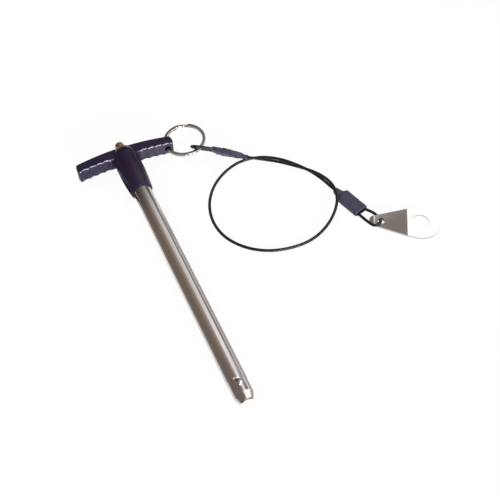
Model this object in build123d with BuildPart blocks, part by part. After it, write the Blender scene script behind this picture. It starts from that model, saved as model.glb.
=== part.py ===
from build123d import *

import os
from math import asin, atan, cos, degrees, pi, radians, sin, sqrt, tan

# Ball lock pin with a moulded T-handle and a wire-rope lanyard, lying on a flat surface.
#
# Frame: millimetres, +Z up. The origin is on the pin's axis at the handle's front face, where
# the 12 mm shank starts. The tip points along -Y, the push button along +Y and the crossbar
# lies along X, with its ring at the +X end. The pin lies on its barrel and its lower ball, so
# its axis is pitched down towards the tip by about half a degree.

os.makedirs("parts", exist_ok=True)

# ---------------------------------------------------------------- driving dimensions (mm, degrees)
# Shank: a ground tube with a coned nose and a grooved spigot that the handle is moulded onto.
SHANK_RADIUS = 6.0
GRIP_LENGTH = 150.0
LEAD_LENGTH = 8.6
LEAD_RELIEF = 0.2
NOSE_LENGTH = 4.7
NOSE_RADIUS = 3.9
NOSE_EDGE = 0.5
SPIGOT_RADIUS = 4.9
SPIGOT_GROOVES = 2
GROOVE_FIRST = 8.0
GROOVE_PITCH = 6.0
GROOVE_WIDTH = 1.2
GROOVE_DEPTH = 0.7

# Locking balls, staked into cross-holes, and the spindle whose ramp pushes them out.
BALL_RADIUS = 2.38
BALL_PAST_GRIP = 3.0
BALL_PROUD = 0.9
BALL_SINK = 0.03
BALL_CLEARANCE = 0.05
LIP_DEPTH = 0.8
LIP_CLEARANCE = 0.1
PLUNGER_TRAVEL = 4.5
SPINDLE_RADIUS = 2.33
SPINDLE_CLEARANCE = 0.07
SPINDLE_HEAD = 2.5
SPINDLE_EDGE = 0.3
NECK_RADIUS = 0.88
NECK_LENGTH = 0.2
RAMP_CLEARANCE = 0.03
BORE_END_GAP = 0.3

# Handle: a barrel along the pin and a crossbar with scalloped finger grips.
BARREL_LENGTH = 39.1
BARREL_FRONT_RADIUS = 7.3
BARREL_WAIST_RADIUS = 8.2
BARREL_WAIST_STATION = 10.0
BARREL_RADIUS = 8.6
BARREL_FULL_STATION = 22.0
BARREL_FRONT_EDGE = 0.5
BARREL_BACK_EDGE = 0.8
BARREL_BACK_RADIUS = 6.3
BARREL_TAPER_LENGTH = 8.0
BARREL_TAPER_BULGE = 0.8
BAR_REACH = 33.4
BAR_END_BULGE = 0.8
BAR_HALF_HEIGHT = 5.0
BAR_SET_IN = 0.2
BAR_BACK_SWEEP = 3.6
BAR_MIDDLE_WIDTH = 8.5
BAR_END_WIDTH = 7.5
BAR_FRONT_CORNER = 1.5
BAR_BACK_CORNER = 0.8
BAR_EDGE = 0.9
BAR_BLEND = 1.6
SCALLOP_END_MARGIN = 5.1
SCALLOP_PITCH = 5.05
SCALLOP_FIRST = 13.1
SCALLOP_RADIUS = 4.3
SCALLOP_DEPTH = 0.6
SCALLOP_LAND_CORNER = 0.3
CHAMBER_RADIUS = 4.7
CHAMBER_DEPTH = 14.1
RING_HOLE_RADIUS = 2.0
RING_HOLE_INSET = 4.5

# Return spring on its seat washer, the press-in collar and the domed push button.
SEAT_RADIUS = 4.6
SEAT_THICKNESS = 0.8
SEAT_CLEARANCE = 0.12
SPRING_WIRE = 0.8
SPRING_MEAN_RADIUS = 3.8
SPRING_TURNS = 5
SPRING_END_GAP = 0.05
COLLAR_RECESS = 0.5
COLLAR_THICKNESS = 2.5
COLLAR_CLEARANCE = 0.1
COLLAR_EDGE = 0.4
BUTTON_RADIUS = 3.25
BUTTON_FLANGE_RADIUS = 4.5
BUTTON_FLANGE_THICKNESS = 1.5
BUTTON_FLANGE_GAP = 0.1
BUTTON_PROUD = 7.1
BUTTON_DOME = 1.5
BUTTON_CAP = 4.2

# Split ring: two flat turns of wire, one on the other, joined by a sloping step.
RING_MEAN_RADIUS = 13.4
RING_WIDTH = 2.0
RING_LAYER = 1.0
RING_WIRE_EDGE = 0.3
RING_SAG = 0.2
RING_SLIP = 0.6
RING_TILT = 4.0
RING_STEP_START = 62.0
RING_STEP_ANGLE = 28.0
RING_END_GAP = 4.0
RING_STEP_SECTIONS = 5

# Lanyard: coated wire rope with a crimped loop at each end, the crimps under shrink sleeves.
CORD_RADIUS = 1.0
STRAND_SPREAD = 2.7
CRIMP_LENGTH = 13.0
CRIMP_WIDTH = 8.8
CRIMP_THICKNESS = 3.2
CRIMP_CLEARANCE = 0.15
CRIMP_EDGE = 0.4
CRIMP_SET_BACK = 1.7
RING_CRIMP_LEAN = 33.0
TAB_CRIMP_LEAN = 90.0
ROPE_BEND_SHARE = 0.45
SLEEVE_LENGTH = 24.5
SLEEVE_WALL = 0.4
SLEEVE_CLEARANCE = 0.12
SLEEVE_MOUTH_EASE = 2.2
SLEEVE_TAPER = 7.2
SLEEVE_MOUTH_WIDTH = 9.9
SLEEVE_MOUTH_THICKNESS = 3.8
SLEEVE_TAIL_WIDTH = 4.1
SLEEVE_TAIL_THICKNESS = 3.5
SLEEVE_TAIL_OFFSET = 1.35

# Tab: a flat steel lug, its wide end on the surface, its narrow end bent up to the rope.
TAB_THICKNESS = 1.2
TAB_WIDE_RADIUS = 12.9
TAB_NARROW_RADIUS = 4.0
TAB_NARROW_CENTRE = -3.7
TAB_BORE_RADIUS = 6.0
TAB_BORE_CENTRE = 25.6
TAB_EYE_RADIUS = 2.2
TAB_FOLD = 17.0
TAB_RISE = 9.0
TAB_TIP_FOLD = -4.8
TAB_FOLD_RADIUS = 6.0
TAB_FOLD_SKEW = 9.0
TAB_EYE_X = 130.4
TAB_EYE_Y = -82.9
TAB_DIRECTION = -22.1

# ---------------------------------------------------------------- the pin's own frame
ball_station = GRIP_LENGTH + BALL_PAST_GRIP
over_ball_radius = SHANK_RADIUS + BALL_PROUD
pitch = asin((BARREL_RADIUS - over_ball_radius) / (ball_station + BARREL_FULL_STATION))
floor_level = -(over_ball_radius * cos(pitch) + ball_station * sin(pitch))
to_tip = Vector(0, -cos(pitch), -sin(pitch))
pin_up = Vector(0, -sin(pitch), cos(pitch))

# Sketch x is the station along the pin, towards the tip, and sketch y is the radius.
section = Plane(origin=(0, 0, 0), x_dir=to_tip, z_dir=(-1, 0, 0))
# Sketch y is the distance behind the front face, towards the button.
plan = Plane(origin=(0, 0, 0), x_dir=(1, 0, 0), z_dir=pin_up)
pin_axis = Axis((0, 0, 0), to_tip)


def across(station):
    """Cross-section plane of the pin at a station, facing the tip."""
    return Plane(origin=to_tip * station, x_dir=(1, 0, 0), z_dir=to_tip)


def on_floor(x, y, height):
    """Point at a height above the surface that the pin lies on."""
    return Vector(x, y, floor_level + height)


# ---------------------------------------------------------------- worked-out sizes
lead_radius = SHANK_RADIUS - LEAD_RELIEF
shank_length = GRIP_LENGTH + LEAD_LENGTH
ball_centre = over_ball_radius - BALL_RADIUS
ball_drop = BALL_PROUD + BALL_SINK
ramp_slope = ball_drop / PLUNGER_TRAVEL
ramp_radius = ball_centre - (BALL_RADIUS + RAMP_CLEARANCE) / cos(atan(ramp_slope))
ramp_start = ball_station - (ramp_radius - NECK_RADIUS) / ramp_slope
ramp_end = ball_station + (SPINDLE_RADIUS - ramp_radius) / ramp_slope
neck_start = ramp_start - NECK_LENGTH
recess_start = neck_start - (SPINDLE_RADIUS - NECK_RADIUS)
spindle_tip = ball_station + SPINDLE_HEAD
bore_radius = SPINDLE_RADIUS + SPINDLE_CLEARANCE
bore_end = spindle_tip + PLUNGER_TRAVEL + BORE_END_GAP
socket_radius = BALL_RADIUS + BALL_CLEARANCE
lip_radius = sqrt(BALL_RADIUS**2 - (lead_radius - ball_centre) ** 2) + LIP_CLEARANCE
nose_end = shank_length + NOSE_LENGTH

spigot_length = BARREL_LENGTH - CHAMBER_DEPTH
seat_top = spigot_length + SEAT_THICKNESS
collar_top = BARREL_LENGTH - COLLAR_RECESS
collar_bottom = collar_top - COLLAR_THICKNESS
flange_top = collar_bottom - BUTTON_FLANGE_GAP
flange_bottom = flange_top - BUTTON_FLANGE_THICKNESS
button_top = BARREL_LENGTH + BUTTON_PROUD
spindle_back = button_top - BUTTON_CAP


def spigot_outline(end_station):
    """Half outline of the grooved spigot, from the shoulder back to a station."""
    grooves = []
    for groove in range(SPIGOT_GROOVES):
        near = -(GROOVE_FIRST + groove * GROOVE_PITCH)
        far = near - GROOVE_WIDTH
        floor = SPIGOT_RADIUS - GROOVE_DEPTH
        grooves += [(near, SPIGOT_RADIUS), (near, floor), (far, floor), (far, SPIGOT_RADIUS)]
    return [(0, SPIGOT_RADIUS), *grooves, (end_station, SPIGOT_RADIUS)]


# ---------------------------------------------------------------- shank
with BuildPart() as shank:
    with BuildSketch(section):
        with BuildLine():
            Polyline(
                (0, 0),
                (-spigot_length, 0),
                *reversed(spigot_outline(-spigot_length)),
                (0, SHANK_RADIUS),
                (GRIP_LENGTH, SHANK_RADIUS),
                (GRIP_LENGTH + LEAD_RELIEF, lead_radius),
                (shank_length, lead_radius),
                (nose_end, NOSE_RADIUS),
                (nose_end, 0),
                close=True,
            )
        make_face()
    revolve(axis=pin_axis)
    chamfer(shank.edges().filter_by(GeomType.CIRCLE).sort_by(pin_axis)[-1], length=NOSE_EDGE)
    with BuildSketch(across(-spigot_length)):
        Circle(bore_radius)
    extrude(amount=spigot_length + bore_end, mode=Mode.SUBTRACT)
    # Each ball's hole opens from the bore and ends in a staked lip that keeps the ball in.
    for side in (1, -1):
        ball_axis = Axis(to_tip * ball_station, pin_up * side)
        with BuildSketch(Plane(origin=to_tip * ball_station, x_dir=to_tip, z_dir=(-side, 0, 0))):
            with BuildLine():
                Polyline(
                    (0, 0),
                    (socket_radius, 0),
                    (socket_radius, lead_radius - LIP_DEPTH),
                    (lip_radius, lead_radius),
                    (lip_radius, SHANK_RADIUS),
                    (0, SHANK_RADIUS),
                    close=True,
                )
            make_face()
        revolve(axis=ball_axis, mode=Mode.SUBTRACT)
shank.part.label = "shank"
export_step(shank.part, "parts/shank.step")

# ---------------------------------------------------------------- locking balls
for name, side in (("ball_upper", 1), ("ball_lower", -1)):
    with BuildPart(Plane(origin=to_tip * ball_station + pin_up * side * ball_centre)) as ball:
        Sphere(BALL_RADIUS)
    ball.part.label = name
    export_step(ball.part, f"parts/{name}.step")

# ---------------------------------------------------------------- spindle
with BuildPart() as spindle:
    with BuildSketch(section):
        with BuildLine():
            Polyline(
                (-spindle_back, 0),
                (-spindle_back, SPINDLE_RADIUS - SPINDLE_EDGE),
                (-spindle_back + SPINDLE_EDGE, SPINDLE_RADIUS),
                (recess_start, SPINDLE_RADIUS),
                (neck_start, NECK_RADIUS),
                (ramp_start, NECK_RADIUS),
                (ramp_end, SPINDLE_RADIUS),
                (spindle_tip - SPINDLE_EDGE, SPINDLE_RADIUS),
                (spindle_tip, SPINDLE_RADIUS - SPINDLE_EDGE),
                (spindle_tip, 0),
                close=True,
            )
        make_face()
    revolve(axis=pin_axis)
spindle.part.label = "spindle"
export_step(spindle.part, "parts/spindle.step")

# ---------------------------------------------------------------- push button
with BuildPart() as button:
    with BuildSketch(section):
        with BuildLine():
            stem = Polyline(
                (-button_top, 0),
                (-flange_bottom, 0),
                (-flange_bottom, BUTTON_FLANGE_RADIUS),
                (-flange_top, BUTTON_FLANGE_RADIUS),
                (-flange_top, BUTTON_RADIUS),
                (-(button_top - BUTTON_DOME), BUTTON_RADIUS),
            )
            Bezier(
                stem @ 1,
                (-button_top, BUTTON_RADIUS),
                (-button_top, BUTTON_RADIUS / 2),
                (-button_top, 0),
            )
        make_face()
    revolve(axis=pin_axis)
    with BuildSketch(section):
        with BuildLine():
            Polyline(
                (-flange_bottom, 0),
                (-flange_bottom, SPINDLE_RADIUS),
                (-spindle_back + SPINDLE_EDGE, SPINDLE_RADIUS),
                (-spindle_back, SPINDLE_RADIUS - SPINDLE_EDGE),
                (-spindle_back, 0),
                close=True,
            )
        make_face()
    revolve(axis=pin_axis, mode=Mode.SUBTRACT)
button.part.label = "button"
export_step(button.part, "parts/button.step")

# ---------------------------------------------------------------- handle
bar_corner_x = BAR_REACH - BAR_END_BULGE
bar_back_middle = BARREL_LENGTH - BAR_SET_IN
bar_back_end = bar_back_middle - BAR_BACK_SWEEP
bar_front_middle = bar_back_middle - BAR_MIDDLE_WIDTH
bar_front_end = bar_back_end - BAR_END_WIDTH
bar_end_middle = (bar_back_end + bar_front_end) / 2
taper_start = BARREL_LENGTH - BARREL_BACK_EDGE - BARREL_TAPER_LENGTH
taper_middle = taper_start + BARREL_TAPER_LENGTH / 2
taper_middle_radius = (BARREL_RADIUS + BARREL_BACK_RADIUS) / 2 + BARREL_TAPER_BULGE
scallop_offset = SCALLOP_RADIUS - SCALLOP_DEPTH
scallops_per_arm = 1 + int((BAR_REACH - SCALLOP_END_MARGIN - SCALLOP_FIRST) / SCALLOP_PITCH)
ring_hole_x = BAR_REACH - RING_HOLE_INSET


def bar_front(x):
    """How far the crossbar's finger side lies behind the front face, at a distance x from the axis."""
    return bar_front_middle - (bar_front_middle - bar_front_end) * (x / bar_corner_x) ** 2


scallop_centres = []
for scallop in range(scallops_per_arm):
    scallop_x = SCALLOP_FIRST + scallop * SCALLOP_PITCH
    scallop_y = bar_front(scallop_x) - scallop_offset
    scallop_centres += [(scallop_x, scallop_y), (-scallop_x, scallop_y)]

with BuildPart() as handle:
    # The crossbar, with its scalloped finger side towards the tip.
    with BuildSketch(plan) as bar_sketch:
        with BuildLine():
            ThreePointArc(
                (-bar_corner_x, bar_back_end), (0, bar_back_middle), (bar_corner_x, bar_back_end)
            )
            ThreePointArc(
                (bar_corner_x, bar_back_end), (BAR_REACH, bar_end_middle), (bar_corner_x, bar_front_end)
            )
            ThreePointArc(
                (bar_corner_x, bar_front_end), (0, bar_front_middle), (-bar_corner_x, bar_front_end)
            )
            ThreePointArc(
                (-bar_corner_x, bar_front_end), (-BAR_REACH, bar_end_middle), (-bar_corner_x, bar_back_end)
            )
        bar_outline = make_face()
        fillet(bar_outline.vertices().group_by(Axis.Y)[0], radius=BAR_FRONT_CORNER)
        fillet(bar_outline.vertices().group_by(Axis.Y)[-1], radius=BAR_BACK_CORNER)
        with Locations(*scallop_centres):
            Circle(SCALLOP_RADIUS, mode=Mode.SUBTRACT)
        fillet(bar_sketch.vertices(Select.LAST), radius=SCALLOP_LAND_CORNER)
    extrude(amount=BAR_HALF_HEIGHT, both=True)
    bar_faces = handle.faces().sort_by(Axis(origin=(0, 0, 0), direction=pin_up))
    fillet(bar_faces[0].edges() + bar_faces[-1].edges(), radius=BAR_EDGE)
    # The barrel, swelling from the front face to the palm end.
    with BuildSketch(section):
        with BuildLine():
            front = Polyline(
                (0, 0),
                (0, BARREL_FRONT_RADIUS - BARREL_FRONT_EDGE),
                (-BARREL_FRONT_EDGE, BARREL_FRONT_RADIUS),
            )
            swell = ThreePointArc(
                front @ 1,
                (-BARREL_WAIST_STATION, BARREL_WAIST_RADIUS),
                (-BARREL_FULL_STATION, BARREL_RADIUS),
            )
            body = Line(swell @ 1, (-taper_start, BARREL_RADIUS))
            taper = ThreePointArc(
                body @ 1,
                (-taper_middle, taper_middle_radius),
                (-(BARREL_LENGTH - BARREL_BACK_EDGE), BARREL_BACK_RADIUS),
            )
            back = RadiusArc(
                taper @ 1,
                (-BARREL_LENGTH, BARREL_BACK_RADIUS - BARREL_BACK_EDGE),
                -BARREL_BACK_EDGE,
            )
            Polyline(back @ 1, (-BARREL_LENGTH, 0), (0, 0))
        make_face()
    revolve(axis=pin_axis)
    blends = [
        edge
        for edge in handle.edges(Select.LAST)
        if edge.geom_type in (GeomType.BSPLINE, GeomType.LINE)
        and BAR_HALF_HEIGHT < abs(edge.center().X) < BARREL_RADIUS + BAR_EDGE
    ]
    fillet(blends, radius=BAR_BLEND)
    # The core that the spigot fills, and the chamber behind it.
    with BuildSketch(section):
        with BuildLine():
            Polyline(
                *spigot_outline(-spigot_length),
                (-spigot_length, CHAMBER_RADIUS),
                (-BARREL_LENGTH, CHAMBER_RADIUS),
                (-BARREL_LENGTH, 0),
                (0, 0),
                close=True,
            )
        make_face()
    revolve(axis=pin_axis, mode=Mode.SUBTRACT)
    # The hole for the split ring runs through one arm, parallel to the pin.
    with BuildSketch(across(0)):
        with Locations((ring_hole_x, 0)):
            Circle(RING_HOLE_RADIUS)
    extrude(amount=-BARREL_LENGTH, mode=Mode.SUBTRACT)
handle.part.label = "handle"
export_step(handle.part, "parts/handle.step")

# ---------------------------------------------------------------- seat washer, spring and collar
with BuildPart() as spring_seat:
    with BuildSketch(across(-seat_top)):
        Circle(SEAT_RADIUS)
        Circle(SPINDLE_RADIUS + SEAT_CLEARANCE, mode=Mode.SUBTRACT)
    extrude(amount=SEAT_THICKNESS)
spring_seat.part.label = "spring_seat"
export_step(spring_seat.part, "parts/spring_seat.step")

spring_height = flange_bottom - seat_top - 2 * SPRING_END_GAP - SPRING_WIRE
spring_start = to_tip * -(seat_top + SPRING_END_GAP + SPRING_WIRE / 2)
with BuildPart() as return_spring:
    with BuildLine() as coil:
        Helix(
            pitch=spring_height / SPRING_TURNS,
            height=spring_height,
            radius=SPRING_MEAN_RADIUS,
            center=spring_start,
            direction=-to_tip,
        )
    with BuildSketch(Plane(origin=coil.line @ 0, z_dir=coil.line % 0)):
        Circle(SPRING_WIRE / 2)
    sweep(path=coil.line, is_frenet=True)
return_spring.part.label = "return_spring"
export_step(return_spring.part, "parts/return_spring.step")

with BuildPart() as retaining_collar:
    with BuildSketch(across(-collar_top)):
        Circle(CHAMBER_RADIUS)
        Circle(BUTTON_RADIUS + COLLAR_CLEARANCE, mode=Mode.SUBTRACT)
    extrude(amount=COLLAR_THICKNESS)
    collar_mouth = retaining_collar.faces().sort_by(pin_axis)[0]
    chamfer(collar_mouth.edges().sort_by(SortBy.RADIUS)[0], length=COLLAR_EDGE)
retaining_collar.part.label = "retaining_collar"
export_step(retaining_collar.part, "parts/retaining_collar.step")

# ---------------------------------------------------------------- split ring
arm_front = bar_front(ring_hole_x)
arm_middle = (arm_front + bar_back_end) / 2
# The ring's arc through the arm bows by its sagitta, which the hole's middle halves.
ring_sagitta = ((bar_back_end - arm_front) / 2) ** 2 / (2 * RING_MEAN_RADIUS)
ring_inset = ring_sagitta / 2
tilt = radians(RING_TILT)
ring_centre = plan.from_local_coords(
    (
        ring_hole_x - ring_inset + RING_MEAN_RADIUS * cos(tilt),
        arm_middle - RING_SLIP,
        RING_MEAN_RADIUS * sin(tilt) - RING_SAG,
    )
)
ring_plane = Plane(
    origin=ring_centre,
    x_dir=plan.x_dir * cos(tilt) + plan.z_dir * sin(tilt),
    z_dir=plan.z_dir * cos(tilt) - plan.x_dir * sin(tilt),
)
step_end = RING_STEP_START + RING_STEP_ANGLE


def ring_wire(angle, lift):
    """Plane across the ring's wire: x runs outwards and y up; lift is the wire's middle height."""
    outwards = ring_plane.x_dir * cos(radians(angle)) + ring_plane.y_dir * sin(radians(angle))
    return Plane(
        origin=ring_plane.origin + outwards * RING_MEAN_RADIUS + ring_plane.z_dir * lift,
        x_dir=outwards,
        z_dir=outwards.cross(ring_plane.z_dir),
    )


with BuildPart() as split_ring:
    # The lower turn starts just past the step and runs round to it.
    with BuildSketch(ring_wire(step_end + RING_END_GAP, -RING_LAYER / 2)):
        RectangleRounded(RING_WIDTH, RING_LAYER, RING_WIRE_EDGE)
    revolve(
        axis=Axis(ring_plane.origin, ring_plane.z_dir),
        revolution_arc=360 - RING_STEP_ANGLE - RING_END_GAP,
    )
    # The upper turn carries on from the step.
    with BuildSketch(ring_wire(step_end, RING_LAYER / 2)):
        RectangleRounded(RING_WIDTH, RING_LAYER, RING_WIRE_EDGE)
    revolve(
        axis=Axis(ring_plane.origin, ring_plane.z_dir),
        revolution_arc=360 - RING_STEP_ANGLE - RING_END_GAP,
    )
    for part in range(RING_STEP_SECTIONS + 1):
        share = part / RING_STEP_SECTIONS
        with BuildSketch(ring_wire(RING_STEP_START + share * RING_STEP_ANGLE, (share - 0.5) * RING_LAYER)):
            RectangleRounded(RING_WIDTH, RING_LAYER, RING_WIRE_EDGE)
    loft()
split_ring.part.label = "split_ring"
export_step(split_ring.part, "parts/split_ring.step")

# ---------------------------------------------------------------- lanyard route
def strap(start, end, lean):
    """Plane at the middle of a crimp: x runs from start to end, y spans its two strands.

    The strands' plane leans by an angle from upright towards the side that faces the pin.
    """
    along = (end - start).normalized()
    level = along.cross(Vector(0, 0, 1)).normalized()
    upright = level.cross(along)
    spread = level * sin(radians(lean)) + upright * cos(radians(lean))
    return Plane(origin=(start + end) * 0.5, x_dir=along, z_dir=along.cross(spread))


ring_sleeve_mouth = on_floor(56.8, 16.6, 7.2)
ring_sleeve_tail = on_floor(75.5, 2.1, 5.9)
ring_loop_tip = on_floor(43.6, 22.0, 10.8)
ring_crimp = strap(ring_sleeve_mouth, ring_sleeve_tail, RING_CRIMP_LEAN)
ring_loop_along = (ring_loop_tip - ring_sleeve_mouth).normalized()
ring_loop = Plane(
    origin=ring_sleeve_mouth,
    x_dir=ring_loop_along,
    z_dir=ring_loop_along.cross(ring_crimp.y_dir),
)
tab_sleeve_tail = on_floor(117.2, -46.6, 2.45)
tab_sleeve_mouth = on_floor(123.7, -70.2, 2.45)
tab_crimp = strap(tab_sleeve_mouth, tab_sleeve_tail, TAB_CRIMP_LEAN)

# The dead end starts in the ring's crimp, goes round the ring and back through the crimp.
ring_strand = [
    *(ring_crimp.from_local_coords(p) for p in ((4.2, STRAND_SPREAD), (-8.5, STRAND_SPREAD))),
    *(
        ring_loop.from_local_coords(p)
        for p in (
            (0.7, 3.05),
            (5.7, 3.3),
            (9.8, 3.2),
            (12.8, 2.7),
            (14.7, 1.15),
            (14.7, -1.15),
            (12.8, -2.7),
            (9.8, -3.2),
            (5.7, -3.3),
            (0.7, -3.05),
        )
    ),
    *(
        ring_crimp.from_local_coords(p)
        for p in ((-8.5, -STRAND_SPREAD), (5.2, -STRAND_SPREAD), (13.0, -1.2))
    ),
]
# The free length lies in one wide turn that crosses over itself.
free_turn = [
    on_floor(*p)
    for p in (
        (84.5, -1.8, 3.3),
        (94.0, -9.0, 3.2),
        (103.0, -17.3, 3.3),
        (110.6, -25.6, 3.5),
        (115.4, -35.0, 4.3),
        (116.7, -45.0, 5.3),
        (114.2, -55.0, 5.3),
        (107.5, -64.1, 3.9),
        (97.0, -72.0, 2.2),
        (84.0, -76.8, 1.15),
        (69.5, -76.7, 1.05),
        (55.3, -72.8, 1.05),
        (43.3, -64.0, 1.05),
        (35.3, -51.5, 1.05),
        (33.3, -37.0, 1.05),
        (36.9, -22.3, 1.05),
        (45.3, -9.5, 1.05),
        (57.0, -0.5, 1.05),
        (70.5, 4.6, 1.05),
        (84.7, 3.2, 1.05),
        (96.4, -3.9, 1.05),
        (104.9, -14.6, 1.05),
        (110.5, -26.4, 1.05),
        (114.2, -37.6, 1.15),
    )
]
# It goes through the tab's crimp, the tab's eye and back, to the other dead end.
tab_strand = [
    tab_crimp.from_local_coords((13.0, 1.0, 0.15)),
    *(tab_crimp.from_local_coords(p) for p in ((5.2, STRAND_SPREAD), (-8.5, STRAND_SPREAD))),
    on_floor(126.9, -69.1, 2.2),
    on_floor(130.7, -73.2, 1.5),
    on_floor(131.9, -77.6, 1.1),
    on_floor(131.4, -81.2, 1.1),
    on_floor(129.2, -84.9, 5.9),
    on_floor(126.2, -87.3, 6.0),
    on_floor(123.2, -86.6, 6.0),
    on_floor(121.9, -82.9, 5.8),
    on_floor(121.1, -77.4, 4.5),
    on_floor(120.6, -71.6, 3.0),
    *(tab_crimp.from_local_coords(p) for p in ((-8.5, -STRAND_SPREAD), (4.2, -STRAND_SPREAD))),
]
route = [*ring_strand, *free_turn, *tab_strand]

# Each corner's arc is as large as its two runs allow.
runs = [(after - before).length for before, after in zip(route, route[1:])]
turns = [
    radians((corner - before).get_angle(after - corner))
    for before, corner, after in zip(route, route[1:], route[2:])
]
bend_radii = [
    ROPE_BEND_SHARE * min(before, after) / tan(turn / 2)
    for before, after, turn in zip(runs, runs[1:], turns)
]
for corner, run, turn, radius in zip(route[1:], runs, turns, bend_radii):
    print(
        f"rope corner ({corner.X:.2f}, {corner.Y:.2f}, {corner.Z - floor_level:.2f}) run {run:.1f}",
        f"turn {degrees(turn):.1f} radius {radius:.2f}",
    )

# ---------------------------------------------------------------- lanyard rope
with BuildPart() as lanyard_cord:
    with BuildLine() as rope:
        FilletPolyline(*route, radius=bend_radii)
    with BuildSketch(Plane(origin=rope.line @ 0, z_dir=rope.line % 0)):
        Circle(CORD_RADIUS)
    sweep(path=rope.line)
lanyard_cord.part.label = "lanyard_cord"
export_step(lanyard_cord.part, "parts/lanyard_cord.step")
rope_length = rope.wire().length
print(f"rope length {rope_length:.1f} volume {lanyard_cord.part.volume:.1f}")
print(f"section times length {rope_length * pi * CORD_RADIUS**2:.1f}")

# ---------------------------------------------------------------- crimps and shrink sleeves
sleeve_straight = SLEEVE_LENGTH - SLEEVE_MOUTH_EASE - SLEEVE_TAPER
sleeve_width = CRIMP_WIDTH + 2 * (SLEEVE_CLEARANCE + SLEEVE_WALL)
sleeve_thickness = CRIMP_THICKNESS + 2 * (SLEEVE_CLEARANCE + SLEEVE_WALL)
crimp_start = -(CRIMP_LENGTH / 2 + CRIMP_SET_BACK)
# Length along the sleeve from its mouth, width, thickness and sideways offset of each section.
sleeve_sections = [
    (0, SLEEVE_MOUTH_WIDTH, SLEEVE_MOUTH_THICKNESS, 0),
    (SLEEVE_MOUTH_EASE, sleeve_width, sleeve_thickness, 0),
    (SLEEVE_MOUTH_EASE + sleeve_straight, sleeve_width, sleeve_thickness, 0),
    (SLEEVE_LENGTH, SLEEVE_TAIL_WIDTH, SLEEVE_TAIL_THICKNESS, SLEEVE_TAIL_OFFSET),
]
for end, crimp, leaving_side in (("ring_end", ring_crimp, -1), ("tab_end", tab_crimp, 1)):
    with BuildPart() as ferrule:
        with BuildSketch(Plane(crimp.from_local_coords((crimp_start, 0, 0)), crimp.y_dir, crimp.x_dir)):
            SlotOverall(CRIMP_WIDTH, CRIMP_THICKNESS)
        extrude(amount=CRIMP_LENGTH)
        fillet(ferrule.edges().group_by(Axis(crimp.origin, crimp.x_dir))[0], radius=CRIMP_EDGE)
        fillet(ferrule.edges().group_by(Axis(crimp.origin, crimp.x_dir))[-1], radius=CRIMP_EDGE)
        with BuildSketch(Plane(crimp.from_local_coords((crimp_start, 0, 0)), crimp.y_dir, crimp.x_dir)):
            with Locations((STRAND_SPREAD, 0), (-STRAND_SPREAD, 0)):
                Circle(CORD_RADIUS + CRIMP_CLEARANCE)
        extrude(amount=CRIMP_LENGTH, mode=Mode.SUBTRACT)
    ferrule.part.label = f"ferrule_{end}"
    export_step(ferrule.part, f"parts/ferrule_{end}.step")

    with BuildPart() as sleeve:
        for wall, mode in ((0, Mode.ADD), (SLEEVE_WALL, Mode.SUBTRACT)):
            for along, width, thickness, offset_by in sleeve_sections:
                with BuildSketch(
                    Plane(
                        crimp.from_local_coords((along - SLEEVE_LENGTH / 2, leaving_side * offset_by, 0)),
                        crimp.y_dir,
                        crimp.x_dir,
                    )
                ):
                    SlotOverall(width - 2 * wall, thickness - 2 * wall)
            loft(ruled=True, mode=mode)
    sleeve.part.label = f"sleeve_{end}"
    export_step(sleeve.part, f"parts/sleeve_{end}.step")

# ---------------------------------------------------------------- tab
tab_along = Vector(cos(radians(TAB_DIRECTION)), sin(radians(TAB_DIRECTION)), 0)
tab_base = Plane(origin=on_floor(TAB_EYE_X, TAB_EYE_Y, 0), x_dir=tab_along, z_dir=(0, 0, 1))
# The folds run a little askew of the tab's length.
fold_angle = radians(TAB_DIRECTION - TAB_FOLD_SKEW)
fold_along = Vector(cos(fold_angle), sin(fold_angle), 0)
tab_side = Plane(origin=tab_base.origin, x_dir=fold_along, z_dir=fold_along.cross(Vector(0, 0, 1)))
tab_wide_end = TAB_BORE_CENTRE + TAB_WIDE_RADIUS
tab_narrow_end = TAB_NARROW_CENTRE - TAB_NARROW_RADIUS
tip_height = (TAB_FOLD - TAB_TIP_FOLD) * tan(radians(TAB_RISE))
eye_height = TAB_FOLD * tan(radians(TAB_RISE)) + TAB_THICKNESS / 2 / cos(radians(TAB_RISE))
eye_axis = tab_side.x_dir * sin(radians(TAB_RISE)) + tab_side.y_dir * cos(radians(TAB_RISE))
# The straight flanks touch both end arcs.
flank = asin((TAB_WIDE_RADIUS - TAB_NARROW_RADIUS) / (TAB_BORE_CENTRE - TAB_NARROW_CENTRE))


def flank_point(centre, radius, side):
    """Where a flank leaves one of the end arcs."""
    return (centre - radius * sin(flank), side * radius * cos(flank))


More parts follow.
